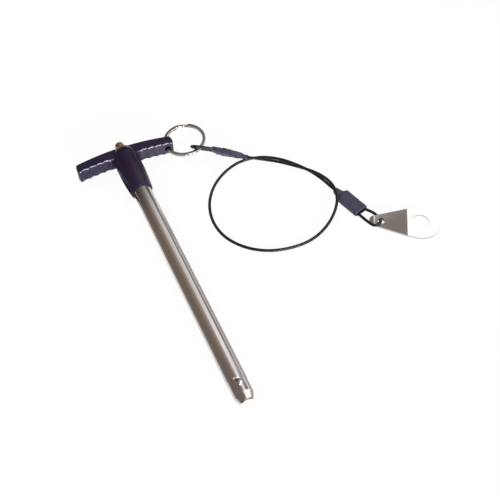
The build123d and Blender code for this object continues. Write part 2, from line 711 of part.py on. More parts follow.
with BuildPart() as tab:
    with BuildSketch(tab_side):
        with BuildLine():
            FilletPolyline(
                (tab_narrow_end - TAB_THICKNESS, tip_height),
                (TAB_TIP_FOLD, tip_height),
                (TAB_FOLD, 0),
                (tab_wide_end + TAB_THICKNESS, 0),
                radius=TAB_FOLD_RADIUS,
            )
            offset(amount=TAB_THICKNESS, side=Side.LEFT)
        make_face()
    extrude(amount=2 * TAB_WIDE_RADIUS, both=True)
    with BuildSketch(tab_base):
        with BuildLine():
            ThreePointArc(
                flank_point(TAB_BORE_CENTRE, TAB_WIDE_RADIUS, -1),
                (tab_wide_end, 0),
                flank_point(TAB_BORE_CENTRE, TAB_WIDE_RADIUS, 1),
            )
            Line(
                flank_point(TAB_BORE_CENTRE, TAB_WIDE_RADIUS, 1),
                flank_point(TAB_NARROW_CENTRE, TAB_NARROW_RADIUS, 1),
            )
            ThreePointArc(
                flank_point(TAB_NARROW_CENTRE, TAB_NARROW_RADIUS, 1),
                (tab_narrow_end, 0),
                flank_point(TAB_NARROW_CENTRE, TAB_NARROW_RADIUS, -1),
            )
            Line(
                flank_point(TAB_NARROW_CENTRE, TAB_NARROW_RADIUS, -1),
                flank_point(TAB_BORE_CENTRE, TAB_WIDE_RADIUS, -1),
            )
        make_face()
        with Locations((TAB_BORE_CENTRE, 0)):
            Circle(TAB_BORE_RADIUS, mode=Mode.SUBTRACT)
    extrude(amount=tip_height + 2 * TAB_THICKNESS, mode=Mode.INTERSECT)
    with BuildSketch(Plane(origin=tab_base.origin + Vector(0, 0, eye_height), z_dir=eye_axis)):
        Circle(TAB_EYE_RADIUS)
    extrude(amount=TAB_THICKNESS, both=True, mode=Mode.SUBTRACT)
tab.part.label = "tab"
export_step(tab.part, "parts/tab.step")
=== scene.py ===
"""Ball lock pin with a moulded T-handle and a wire-rope lanyard: its finishes, light and camera.

Everything is in metres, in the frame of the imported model: the origin is on the pin's axis at the
handle's front face, the tip points along -Y, the crossbar lies along X and +Z is up. The rope, its
two sleeves and the return spring are built here and stand for their plain solids. The other pieces
are the model's own solids, dressed. The studio's cards are seen by mirrored rays alone.
"""

from __future__ import annotations

import logging
from collections.abc import Callable, Sequence
from dataclasses import dataclass, field
from enum import Enum
from math import ceil, copysign, cos, pi, radians, sin
from typing import TypeVar

import bmesh
import bpy
from mathutils import Matrix, Vector, noise


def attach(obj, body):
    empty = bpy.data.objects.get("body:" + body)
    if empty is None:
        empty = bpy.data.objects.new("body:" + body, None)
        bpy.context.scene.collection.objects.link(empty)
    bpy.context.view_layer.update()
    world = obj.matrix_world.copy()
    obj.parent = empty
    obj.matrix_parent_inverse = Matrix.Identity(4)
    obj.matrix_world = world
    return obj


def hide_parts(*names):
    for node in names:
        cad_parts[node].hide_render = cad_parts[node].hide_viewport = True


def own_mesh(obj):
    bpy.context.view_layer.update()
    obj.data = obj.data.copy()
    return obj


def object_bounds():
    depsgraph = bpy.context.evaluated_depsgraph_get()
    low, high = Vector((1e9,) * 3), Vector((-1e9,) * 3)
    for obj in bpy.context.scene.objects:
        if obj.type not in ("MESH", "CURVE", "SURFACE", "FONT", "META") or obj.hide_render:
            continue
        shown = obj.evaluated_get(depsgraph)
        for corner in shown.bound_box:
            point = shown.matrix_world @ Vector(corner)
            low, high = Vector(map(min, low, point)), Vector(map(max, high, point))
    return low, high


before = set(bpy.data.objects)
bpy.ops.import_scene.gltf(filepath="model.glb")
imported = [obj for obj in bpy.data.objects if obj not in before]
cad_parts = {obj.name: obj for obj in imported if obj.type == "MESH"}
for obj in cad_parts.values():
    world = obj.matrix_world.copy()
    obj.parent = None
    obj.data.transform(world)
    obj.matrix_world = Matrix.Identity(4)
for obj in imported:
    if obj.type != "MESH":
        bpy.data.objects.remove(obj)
CAD_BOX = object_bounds()
FLOOR_LEVEL = CAD_BOX[0][2]

log = logging.getLogger("ball_lock_pin")

MM = 0.001

Station = TypeVar("Station")


# ---------------------------------------------------------------------------- small helpers
def linear(hex_colour: str) -> tuple[float, float, float, float]:
    """Turns an sRGB hex colour into linear RGBA.

    Args:
        hex_colour: A colour such as "#8A8078".

    Returns:
        The four linear channels, with alpha 1.
    """
    channels = [int(hex_colour[at : at + 2], 16) / 255 for at in (1, 3, 5)]
    red, green, blue = (
        value / 12.92 if value <= 0.04045 else ((value + 0.055) / 1.055) ** 2.4 for value in channels
    )
    return red, green, blue, 1.0


def add_node(
    tree: bpy.types.NodeTree,
    kind: str,
    settings: dict[str, object] | None = None,
    inputs: dict[str | int, object] | None = None,
) -> bpy.types.Node:
    """Adds a node with its settings and inputs.

    Args:
        tree: The tree that takes the node.
        kind: The node's Blender type name.
        settings: Properties of the node by name.
        inputs: Inputs by name or number; an output socket is linked, anything else is a value.

    Returns:
        The new node.
    """
    node = tree.nodes.new(kind)
    for name, value in (settings or {}).items():
        setattr(node, name, value)
    for name, value in (inputs or {}).items():
        socket = node.inputs[name]
        if isinstance(value, bpy.types.NodeSocket):
            tree.links.new(value, socket)
        else:
            socket.default_value = value
    return node


def make_object(name: str, shape: bmesh.types.BMesh) -> bpy.types.Object:
    """Turns a finished shape into an object of the scene, and frees the shape.

    Args:
        name: The object's name and its mesh's.
        shape: The shape.

    Returns:
        The object, with no material yet.
    """
    mesh = bpy.data.meshes.new(name)
    shape.to_mesh(mesh)
    shape.free()
    made = bpy.data.objects.new(name, mesh)
    bpy.context.scene.collection.objects.link(made)
    return made


def make_material(name: str) -> tuple[bpy.types.Material, bpy.types.NodeTree]:
    """Makes a material whose tree is empty.

    Args:
        name: Its name.

    Returns:
        The material and its tree.
    """
    material = bpy.data.materials.new(name)
    material.use_nodes = True
    material.node_tree.nodes.clear()
    return material, material.node_tree


def draw_tube(
    shape: bmesh.types.BMesh,
    around: int,
    stations: Sequence[Station],
    lay_out: Callable[[list[bmesh.types.BMVert], Station], None],
) -> tuple[list[bmesh.types.BMEdge], list[bmesh.types.BMEdge]]:
    """Draws a ring of vertices out into an open tube.

    Args:
        shape: The empty shape that takes the tube.
        around: How many vertices the ring has.
        stations: What places each cross-section, in order.
        lay_out: Moves a ring of vertices onto a station.

    Returns:
        The edges of the tube's first ring and of its last.
    """
    verts = bmesh.ops.create_circle(shape, cap_ends=False, radius=MM, segments=around)["verts"]
    first = edges = list(shape.edges)
    lay_out(verts, stations[0])
    for station in stations[1:]:
        grown = bmesh.ops.extrude_edge_only(shape, edges=edges)["geom"]
        verts = [item for item in grown if isinstance(item, bmesh.types.BMVert)]
        ring = set(verts)
        edges = [
            item
            for item in grown
            if isinstance(item, bmesh.types.BMEdge) and ring.issuperset(item.verts)
        ]
        lay_out(verts, station)
    return first, edges


def cap_and_smooth(shape: bmesh.types.BMesh, *rims: list[bmesh.types.BMEdge]) -> None:
    """Closes a tube's rims, turns its faces outwards and shades its sides smooth.

    Args:
        shape: The shape.
        rims: The edges of each rim to close.
    """
    for rim in rims:
        bmesh.ops.contextual_create(shape, geom=rim)
    bmesh.ops.recalc_face_normals(shape, faces=shape.faces)
    for face in shape.faces:
        face.smooth = len(face.verts) == 4


# ---------------------------------------------------------------------------- finishes
# Nearly all of a noise's values lie between these.
NOISE_LOW, NOISE_HIGH = 0.3, 0.7


class Lay(Enum):
    """The direction of a tool's or a roll's marks: how many times finer they are along each axis."""

    ROUND_THE_PIN = (1.0, 60.0, 1.0)
    ALONG_X = (1.0, 40.0, 40.0)
    EVEN = (1.0, 1.0, 1.0)


@dataclass(frozen=True)
class Finish:
    """A surface: what it is made of, how it was worked, and the slot of the record it stands for."""

    slot: str
    colour: str
    roughness: float

    def shader(self, tree: bpy.types.NodeTree) -> bpy.types.Node:
        """Adds the surface's own nodes and returns its shader node."""
        raise NotImplementedError

    def surface(
        self,
        tree: bpy.types.NodeTree,
        tint: bpy.types.NodeSocket,
        gloss: tuple[bpy.types.NodeSocket, float, float],
        relief: tuple[bpy.types.NodeSocket, float, float],
        constants: dict[str, float],
    ) -> bpy.types.Node:
        """Joins a colour, an uneven gloss and a relief in one shader.

        Args:
            tree: The material's tree.
            tint: The colour's socket.
            gloss: The noise that the gloss follows, and the roughness's shares at its two ends.
            relief: The height's socket, its depth and its strength.
            constants: What is the same all over the surface, by the name of the shader's input.

        Returns:
            The shader node.
        """
        pattern, smoother, rougher = gloss
        rough = add_node(
            tree,
            "ShaderNodeMapRange",
            inputs={
                0: pattern,
                1: NOISE_LOW,
                2: NOISE_HIGH,
                3: self.roughness * smoother,
                4: self.roughness * rougher,
            },
        )
        height, depth, strength = relief
        bump = add_node(
            tree,
            "ShaderNodeBump",
            inputs={"Height": height, "Distance": depth, "Strength": strength},
        )
        return add_node(
            tree,
            "ShaderNodeBsdfPrincipled",
            inputs={
                "Base Color": tint,
                "Roughness": rough.outputs[0],
                "Normal": bump.outputs[0],
                **constants,
            },
        )

    def material(self) -> bpy.types.Material:
        """Builds the material, or returns it where it was built before.

        Returns:
            The material, named after the slot.
        """
        known = bpy.data.materials.get(self.slot)
        if known is not None and known.get("dressed"):
            return known
        material, tree = make_material(self.slot)
        material["dressed"] = True
        add_node(tree, "ShaderNodeOutputMaterial", inputs={"Surface": self.shader(tree).outputs[0]})
        return material

    def dress(self, obj: bpy.types.Object) -> None:
        """Gives an object this finish in place of whatever it wore.

        Args:
            obj: The object.
        """
        obj.data.materials.clear()
        obj.data.materials.append(self.material())


@dataclass(frozen=True)
class WorkedMetal(Finish):
    """Bare metal with the fine marks of grinding, turning, drawing or rolling."""

    stain: str
    mark_length: float
    mark_depth: float
    lay: Lay = Lay.EVEN
    stain_size: float = 9 * MM
    gloss_spread: tuple[float, float] = (0.9, 1.12)
    bump_strength: float = 0.3

    def shader(self, tree: bpy.types.NodeTree) -> bpy.types.Node:
        """Marks drawn out along the lay, and a faint patchy stain, on a metallic shader.

        Args:
            tree: The material's tree.

        Returns:
            The shader node.
        """
        place = add_node(tree, "ShaderNodeTexCoord").outputs["Object"]
        drawn_out = add_node(
            tree, "ShaderNodeMapping", inputs={"Vector": place, "Scale": self.lay.value}
        )
        marks = add_node(
            tree,
            "ShaderNodeTexNoise",
            inputs={"Vector": drawn_out.outputs[0], "Scale": 1 / self.mark_length, "Detail": 3.0},
        )
        patches = add_node(
            tree,
            "ShaderNodeTexNoise",
            inputs={"Vector": place, "Scale": 1 / self.stain_size, "Detail": 4.0},
        )
        tint = add_node(
            tree,
            "ShaderNodeMix",
            {"data_type": "RGBA"},
            {0: patches.outputs[0], 6: linear(self.colour), 7: linear(self.stain)},
        )
        return self.surface(
            tree,
            tint.outputs[2],
            gloss=(marks.outputs[0], *self.gloss_spread),
            relief=(marks.outputs[0], self.mark_depth, self.bump_strength),
            constants={"Metallic": 1.0},
        )


@dataclass(frozen=True)
class GripPlastic(Finish):
    """The handle's moulded plastic, with a painted sheen on the faces turned towards the tip and
    painted highlights on its scallops' rims.
    """

    # The first colour paints a pale sheen on the faces turned towards the tip; the second paints
    # highlights on the scallops' rims.
    painted_sheen: str
    painted_rim_highlight: str
    grain: float
    grain_depth: float
    arm_start: float
    ior: float
    arm_blend: float = 2 * MM
    # These set the painted sheen: how far a face turns towards the tip, the grain's range that breaks
    # it up, and its least share.
    sheen_facing: tuple[float, float] = (-0.35, -0.8)
    sheen_patch_range: tuple[float, float] = (0.36, 0.62)
    least_sheen: float = 0.2
    gloss_spread: tuple[float, float] = (0.85, 1.15)
    bump_strength: float = 0.6

    def shader(self, tree: bpy.types.NodeTree) -> bpy.types.Node:
        """A fine grain everywhere, a painted sheen on the faces turned towards the tip, and painted
        highlights on the scallops' rims.

        Args:
            tree: The material's tree.

        Returns:
            The shader node.
        """
        place = add_node(tree, "ShaderNodeTexCoord").outputs["Object"]
        across = add_node(tree, "ShaderNodeSeparateXYZ", inputs={0: place}).outputs[0]
        reach = add_node(tree, "ShaderNodeMath", {"operation": "ABSOLUTE"}, {0: across}).outputs[0]
        on_arm = add_node(
            tree,
            "ShaderNodeMapRange",
            {"interpolation_type": "SMOOTHSTEP"},
            {0: reach, 1: self.arm_start, 2: self.arm_start + self.arm_blend},
        ).outputs[0]
        normal = add_node(tree, "ShaderNodeNewGeometry").outputs["Normal"]
        sideways, towards_tip, upwards = add_node(
            tree, "ShaderNodeSeparateXYZ", inputs={0: normal}
        ).outputs
        # Faces turned towards the tip, which take the painted sheen.
        sheen_side = add_node(
            tree,
            "ShaderNodeMapRange",
            {"interpolation_type": "SMOOTHSTEP"},
            {0: towards_tip, 1: self.sheen_facing[0], 2: self.sheen_facing[1]},
        ).outputs[0]
        speckle = add_node(
            tree,
            "ShaderNodeTexNoise",
            inputs={"Vector": place, "Scale": 1 / self.grain, "Detail": 5.0, "Roughness": 0.7},
        ).outputs[0]
        bare, full = self.sheen_patch_range
        patchy = add_node(
            tree,
            "ShaderNodeMapRange",
            inputs={0: speckle, 1: bare, 2: full, 3: self.least_sheen, 4: 1.0},
        ).outputs[0]
        sheen_share = on_arm
        for share in (sheen_side, patchy):
            sheen_share = add_node(
                tree, "ShaderNodeMath", {"operation": "MULTIPLY"}, {0: sheen_share, 1: share}
            ).outputs[0]
        # Mixes the painted sheen into the plastic's own colour.
        tint = add_node(
            tree,
            "ShaderNodeMix",
            {"data_type": "RGBA"},
            {0: sheen_share, 6: linear(self.colour), 7: linear(self.painted_sheen)},
        )
        # Painted highlights on the scallops' rims, mixed in as a pale colour.
        rim_highlight = self.rim_highlight_share(tree, on_arm, sideways, towards_tip, upwards)
        tint = add_node(
            tree,
            "ShaderNodeMix",
            {"data_type": "RGBA"},
            {0: rim_highlight, 6: tint.outputs[2], 7: linear(self.painted_rim_highlight)},
        )
        return self.surface(
            tree,
            tint.outputs[2],
            gloss=(speckle, *self.gloss_spread),
            relief=(speckle, self.grain_depth, self.bump_strength),
            constants={"IOR": self.ior},
        )

    def rim_highlight_share(
        self,
        tree: bpy.types.NodeTree,
        on_arm: bpy.types.NodeSocket,
        sideways: bpy.types.NodeSocket,
        towards_tip: bpy.types.NodeSocket,
        upwards: bpy.types.NodeSocket,
    ) -> bpy.types.NodeSocket:
        """The share of painted highlight: on the arms, where an edge turns from the side facing the
        tip to a flat side.

        Args:
            tree: The material's tree.
            on_arm: 1 on the arms and 0 on the barrel.
            sideways: The surface's direction along X.
            towards_tip: Its direction along Y, which is negative towards the tip.
            upwards: Its direction along Z.

        Returns:
            The share's socket.
        """
        slope = add_node(tree, "ShaderNodeMath", {"operation": "ABSOLUTE"}, {0: upwards}).outputs[0]
        turn = add_node(tree, "ShaderNodeMath", {"operation": "ABSOLUTE"}, {0: sideways}).outputs[0]
        rim_highlight = on_arm
        for direction, none, full in (
            (slope, 0.12, 0.3),
            (slope, 0.93, 0.75),
            (turn, 0.36, 0.24),
            (towards_tip, -0.1, -0.3),
        ):
            share = add_node(
                tree,
                "ShaderNodeMapRange",
                {"interpolation_type": "SMOOTHSTEP"},
                {0: direction, 1: none, 2: full},
            ).outputs[0]
            rim_highlight = add_node(
                tree, "ShaderNodeMath", {"operation": "MULTIPLY"}, {0: rim_highlight, 1: share}
            ).outputs[0]
        return rim_highlight


@dataclass(frozen=True)
class GrainedPlastic(Finish):
    """Moulded or shrunk plastic with a leathery grain, paler in patches where it has been rubbed."""

    rubbed: str
    grain: float
    grain_depth: float
    ior: float = 1.46
    patch_in_grains: float = 3.0
    rubbed_range: tuple[float, float] = (0.35, 0.75)
    gloss_spread: tuple[float, float] = (0.85, 1.15)
    bump_strength: float = 0.6

    def shader(self, tree: bpy.types.NodeTree) -> bpy.types.Node:
        """A cell grain in the bump, and uneven colour and gloss from a broader noise.

        Args:
            tree: The material's tree.

        Returns:
            The shader node.
        """
        place = add_node(tree, "ShaderNodeTexCoord").outputs["Object"]
        cells = add_node(
            tree,
            "ShaderNodeTexVoronoi",
            inputs={"Vector": place, "Scale": 1 / self.grain, "Randomness": 1.0},
        )
        cloud = add_node(
            tree,
            "ShaderNodeTexNoise",
            inputs={
                "Vector": place,
                "Scale": 1 / (self.grain * self.patch_in_grains),
                "Detail": 6.0,
                "Roughness": 0.65,
            },
        ).outputs[0]
        bare, full = self.rubbed_range
        share = add_node(tree, "ShaderNodeMapRange", inputs={0: cloud, 1: bare, 2: full})
        tint = add_node(
            tree,
            "ShaderNodeMix",
            {"data_type": "RGBA"},
            {0: share.outputs[0], 6: linear(self.colour), 7: linear(self.rubbed)},
        )
        return self.surface(
            tree,
            tint.outputs[2],
            gloss=(cloud, *self.gloss_spread),
            relief=(cells.outputs[0], self.grain_depth, self.bump_strength),
            constants={"IOR": self.ior},
        )


# Hardened stainless steel, centreless ground: fine rings round the pin, drawn 0.15 mm wide, coarser
# than the real ones so that they show. They draw each reflection out along the pin, soft and warm.
SHANK_STEEL = WorkedMetal(
    "shank_steel", "#D3D0CE", 0.14, "#CCC8C5", 9 * MM, 0.0015 * MM, Lay.ROUND_THE_PIN
)
# Bearing steel, lapped to a mirror: a point of light and no marks.
BALL_STEEL = WorkedMetal("ball_steel", "#DCDBDA", 0.08, "#D2D0CE", 6 * MM, 0.0005 * MM)
# Stainless steel turned and left as it came, inside the pin: dull rings.
INNER_STEEL = WorkedMetal(
    "inner_steel", "#BDB8B0", 0.3, "#A9A399", 12 * MM, 0.01 * MM, Lay.ROUND_THE_PIN
)
# Spring wire, drawn and oiled: dark and half bright.
SPRING_STEEL = WorkedMetal("spring_steel", "#A8A5A0", 0.3, "#8E8A84", 6 * MM, 0.005 * MM)
# Free-cutting brass, turned and handled: dull gold with darker tarnish.
BUTTON_BRASS = WorkedMetal(
    "button_brass", "#EBC79B", 0.38, "#C9A271", 12 * MM, 0.004 * MM, Lay.ROUND_THE_PIN
)
# Nylon, near black with a plum cast, with a painted sheen on the faces turned towards the tip and
# painted highlights on the scallops' rims. Its spark-eroded grain is drawn at 1.28 mm, coarser than
# the real one, so that it shows a step away.
HANDLE_PLASTIC = GripPlastic(
    "handle_plastic",
    "#1D122A",
    0.3,
    painted_sheen="#423F4E",
    painted_rim_highlight="#A29CB0",
    grain=1.28 * MM,
    grain_depth=0.012 * MM,
    arm_start=9.2 * MM,
    ior=1.42,
)
# Flat spring-steel wire, rolled bright: uneven in tone from one stretch to the next.
RING_STEEL = WorkedMetal("ring_steel", "#C4BEB7", 0.2, "#B3ACA4", 7.2 * MM, 0.0003 * MM)
# Wire rope in a thin black nylon coat: wet-looking over the strands. Its grain is drawn at 0.4 mm,
# coarser than the real one.
ROPE_COAT = GrainedPlastic("rope", "#08080A", 0.24, "#141418", 0.4 * MM, 0.006 * MM, 1.45)
# Pressed aluminium crimp, dull where the press has held it.
CRIMP_METAL = WorkedMetal("crimp_metal", "#C4C4C4", 0.35, "#AFAFAF", 18 * MM, 0.01 * MM)
# Polyolefin heat-shrink tube: satin, slate with a violet cast. Its grain is drawn at 0.6 mm, coarser
# than the real one.
SLEEVE_PLASTIC = GrainedPlastic("sleeve_plastic", "#2C2B3B", 0.36, "#3D3C50", 0.6 * MM, 0.02 * MM)
# Cold-rolled stainless strip, blanked and bent: a flat mirror that is all light or all dark. Its
# rolling lines are drawn 0.2 mm wide, coarser than the real ones.
TAB_STEEL = WorkedMetal("tab_steel", "#F3F1EF", 0.11, "#ECE9E6", 9 * MM, 0.0003 * MM, Lay.ALONG_X)


# ---------------------------------------------------------------------------- lanyard route
def on_floor(x: float, y: float, height: float) -> Vector:
    """A point at a height above the surface that the pin lies on; millimetres in, metres out."""
    return Vector((x * MM, y * MM, FLOOR_LEVEL + height * MM))


@dataclass(frozen=True)
class Crimp:
    """The middle of a crimp: x runs from its start to its end, and y spans its two strands."""

    origin: Vector
    along: Vector
    spread: Vector

    @classmethod
    def between(cls, start: Vector, end: Vector, lean: float) -> Crimp:
        """Places a crimp between two points.

        Args:
            start: The mouth of its sleeve, on the loop's side, or its tail.
            end: The sleeve's other end.
            lean: How far the strands' plane leans from upright towards the pin, in degrees.

        Returns:
            The crimp.
        """
        along = (end - start).normalized()
        level = along.cross(Vector((0, 0, 1))).normalized()
        upright = level.cross(along)
        spread = level * sin(radians(lean)) + upright * cos(radians(lean))
        return cls((start + end) * 0.5, along, spread)

    @property
    def normal(self) -> Vector:
        """The direction out of the plane of the two strands."""
        return self.along.cross(self.spread)

    def point(self, x: float, y: float, z: float = 0.0) -> Vector:
        """A point from the crimp's own millimetres."""
        return self.origin + (self.along * x + self.spread * y + self.normal * z) * MM


# A cross-section of the rope: its middle, its two directions across, and its distance along.
Section = tuple[Vector, Vector, Vector, float]


@dataclass
class LanyardRope:
    """Coated wire rope with a crimped loop at each end, round the split ring and the tab's eye.

    The last five sizes are places in a crimp's own millimetres: across its strands, and then along
    it from its middle, positive towards the sleeve's tail.
    """

    radius: float = 1.0 * MM
    whole_length: float = 0.477
    strands: int = 6
    lay_length: float = 11.0 * MM
    groove: float = 0.16
    points_per_strand: int = 6
    station_step: float = 0.6 * MM
    strand_spread: float = 2.7
    dead_end: float = 4.2
    loop_side: float = -8.5
    live_side: float = 5.2
    tail: float = 13.0
    ring_crimp: Crimp = field(init=False)
    tab_crimp: Crimp = field(init=False)
    ring_mouth: Vector = field(init=False)

    def __post_init__(self) -> None:
        """Places the two crimps."""
        self.ring_mouth = on_floor(56.8, 16.6, 7.2)
        self.ring_crimp = Crimp.between(self.ring_mouth, on_floor(75.5, 2.1, 5.9), 33)
        self.tab_crimp = Crimp.between(on_floor(123.7, -70.2, 2.45), on_floor(117.2, -46.6, 2.45), 90)

    def ring_loop(self) -> list[Vector]:
        """The loop round the split ring, from the sleeve's mouth and back to it.

        Returns:
            Its control points.
        """
        along = (on_floor(43.6, 22.0, 10.8) - self.ring_mouth).normalized()
        spread = self.ring_crimp.spread
        upwards = along.cross(spread).normalized().cross(along)
        return [
            self.ring_mouth + (along * x + upwards * y) * MM
            for x, y in (
                (0.7, 3.05),
                (5.7, 3.3),
                (9.8, 3.2),
                (12.8, 2.7),
                (14.7, 1.15),
                (14.7, -1.15),
                (12.8, -2.7),
                (9.8, -3.2),
                (5.7, -3.3),
                (0.7, -3.05),
            )
        ]

    def free_turn(self) -> list[Vector]:
        """The free length: one wide turn on the floor that crosses over itself.

        Returns:
            Its control points.
        """
        return [
            on_floor(x, y, height)
            for x, y, height in (
                (84.5, -1.8, 3.3),
                (94.2, -8.6, 3.2),
                (103.0, -17.3, 3.3),
                (110.6, -25.6, 3.5),
                (115.4, -35.0, 4.3),
                (116.7, -45.0, 5.3),
                (114.2, -55.0, 5.3),
                (107.5, -64.1, 3.9),
                (97.0, -72.0, 2.2),
                (84.0, -76.8, 1.15),
                (69.5, -76.7, 1.05),
                (55.3, -72.8, 1.05),
                (43.3, -64.0, 1.05),
                (35.3, -51.5, 1.05),
                (33.3, -37.0, 1.05),
                (36.9, -22.3, 1.05),
                (45.3, -9.5, 1.05),
                (57.0, -0.5, 1.05),
                (70.5, 4.6, 1.05),
                (84.7, 3.2, 1.05),
                (96.4, -3.9, 1.05),
                (105.1, -14.2, 1.05),
                (111.4, -24.7, 1.05),
                (115.2, -35.5, 1.15),
            )
        ]

    def tab_loop(self) -> list[Vector]:
        """The loop down through the tab's eye and back up over its tip.

        Returns:
            Its control points.
        """
        return [
            on_floor(x, y, height)
            for x, y, height in (
                (126.9, -69.1, 2.2),
                (130.7, -73.2, 1.5),
                (131.9, -77.6, 1.1),
                (131.4, -81.2, 1.1),
                (129.3, -84.3, 5.9),
                (126.1, -86.5, 6.0),
                (123.1, -85.8, 6.0),
                (121.7, -82.3, 5.8),
                (121.1, -77.4, 4.5),
                (120.6, -71.6, 3.0),
            )
        ]

    def route(self) -> list[Vector]:
        """The whole rope, from the dead end at the ring to the one at the tab.

        Returns:
            Its control points.
        """
        side = self.strand_spread
        ring, tab = self.ring_crimp, self.tab_crimp
        return [
            ring.point(self.dead_end, side),
            ring.point(self.loop_side, side),
            *self.ring_loop(),
            ring.point(self.loop_side, -side),
            ring.point(self.live_side, -side),
            ring.point(self.tail, -1.2),
            *self.free_turn(),
            tab.point(self.tail, -0.4, 0.15),
            tab.point(self.live_side, side),
            tab.point(self.loop_side, side),
            *self.tab_loop(),
            tab.point(self.loop_side, -side),
            tab.point(self.dead_end, -side),
        ]

    def centreline(self) -> list[Vector]:
        """Reads the rope's middle line from a smooth spline through its route.

        Returns:
            Points close together along the spline.
        """
        curve = bpy.data.curves.new("rope_line", "CURVE")
        curve.dimensions = "3D"
        curve.resolution_u = 16
        spline = curve.splines.new("NURBS")
        route = self.route()
        spline.points.add(len(route) - 1)
        for control, place in zip(spline.points, route):
            control.co = (*place, 1.0)
        spline.order_u = 3
        spline.use_endpoint_u = True
        holder = bpy.data.objects.new("rope_line", curve)
        bpy.context.scene.collection.objects.link(holder)
        bpy.context.view_layer.update()
        line = bpy.data.meshes.new_from_object(holder)
        points = [vertex.co.copy() for vertex in line.vertices]
        bpy.data.objects.remove(holder)
        bpy.data.curves.remove(curve)
        bpy.data.meshes.remove(line)
        return points

    def stations(self, points: list[Vector]) -> list[Section]:
        """Places even cross-sections along the line, each turned with the line and no further.

        Args:
            points: The middle line.

        Returns:
            The cross-sections.
        """
        runs = [(after - before).length for before, after in zip(points, points[1:])]
        total = sum(runs)
        count = ceil(total / self.station_step)
        places: list[tuple[Vector, float]] = []
        at, passed = 0, 0.0
        for number in range(count + 1):
            wanted = total * number / count
            while at < len(runs) - 1 and passed + runs[at] < wanted:
                passed += runs[at]
                at += 1
            share = min((wanted - passed) / runs[at], 1.0)
            places.append((points[at].lerp(points[at + 1], share), wanted))
        sections = []
        first = (places[1][0] - places[0][0]).normalized()
        across = first.orthogonal().normalized()
        for number, (place, wanted) in enumerate(places):
            before = places[max(number - 1, 0)][0]
            after = places[min(number + 1, len(places) - 1)][0]
            tangent = (after - before).normalized()
            across = (across - tangent * across.dot(tangent)).normalized()
            sections.append((place, across.copy(), tangent.cross(across), wanted))
        return sections

    def lay_out(self, verts: list[bmesh.types.BMVert], section: Section) -> None:
        """Moves a ring of vertices onto a cross-section, which has one lobe a strand.

        Args:
            verts: The ring, in order.
            section: The cross-section.
        """
        middle, across, upwards, along = section
        twist = 2 * pi * along / self.lay_length
        for number, vert in enumerate(verts):
            angle = 2 * pi * number / len(verts)
            lobe = abs(cos(self.strands * angle / 2))
            reach = self.radius * (1 - self.groove * (1 - lobe))
            turned = angle + twist
            vert.co = middle + across * reach * cos(turned) + upwards * reach * sin(turned)

    def build(self, sleeves: list[bpy.types.Object]) -> bpy.types.Object:
        """Makes the rope as a closed tube whose lobes twist with the lay.

        Args:
            sleeves: The shrink sleeves over its crimps. Not used.

        Returns:
            The rope, standing for its plain tube.
        """
        points = self.centreline()
        shape = bmesh.new()
        around = self.strands * self.points_per_strand
        rims = draw_tube(shape, around, self.stations(points), self.lay_out)
        cap_and_smooth(shape, *rims)
        rope = make_object("lanyard_rope", shape)
        ROPE_COAT.dress(rope)
        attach(rope, "lanyard")
        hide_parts("lanyard_cord")
        self.route()[0]
        return rope


# ---------------------------------------------------------------------------- shrink sleeves
# The sections of a sleeve in millimetres: distance from the mouth, width, thickness and sideways
# offset.
DRAWN_IN_MOUTH = (
    (0.0, 8.4, 2.8, 0.0),
    (1.0, 8.5, 2.9, 0.0),
    (3.2, 9.6, 3.8, 0.0),
    (4.6, 9.9, 4.2, 0.0),
    (15.4, 9.9, 4.1, 0.0),
    (16.8, 9.5, 3.9, 0.1),
    (18.6, 6.9, 3.4, 1.0),
    (21.0, 4.5, 3.0, 1.5),
    (24.5, 3.1, 2.7, 1.25),
)
SHOULDERED_TAIL = (
    (0.0, 8.6, 3.4, 0.0),
    (0.3, 9.4, 3.8, 0.0),
    (0.8, 9.9, 4.0, 0.0),
    (1.5, 10.2, 4.2, 0.0),
    (16.6, 10.2, 4.2, 0.0),
    (18.2, 9.6, 3.9, 0.3),
    (19.6, 7.0, 3.3, -0.8),
    (22.0, 4.8, 3.1, -0.4),
    (24.5, 3.6, 2.9, -0.2),
)


class LeavingSide(Enum):
    """The side of a crimp on which the rope leaves the sleeve's tail, along its spread."""

    LOWER = -1
    UPPER = 1


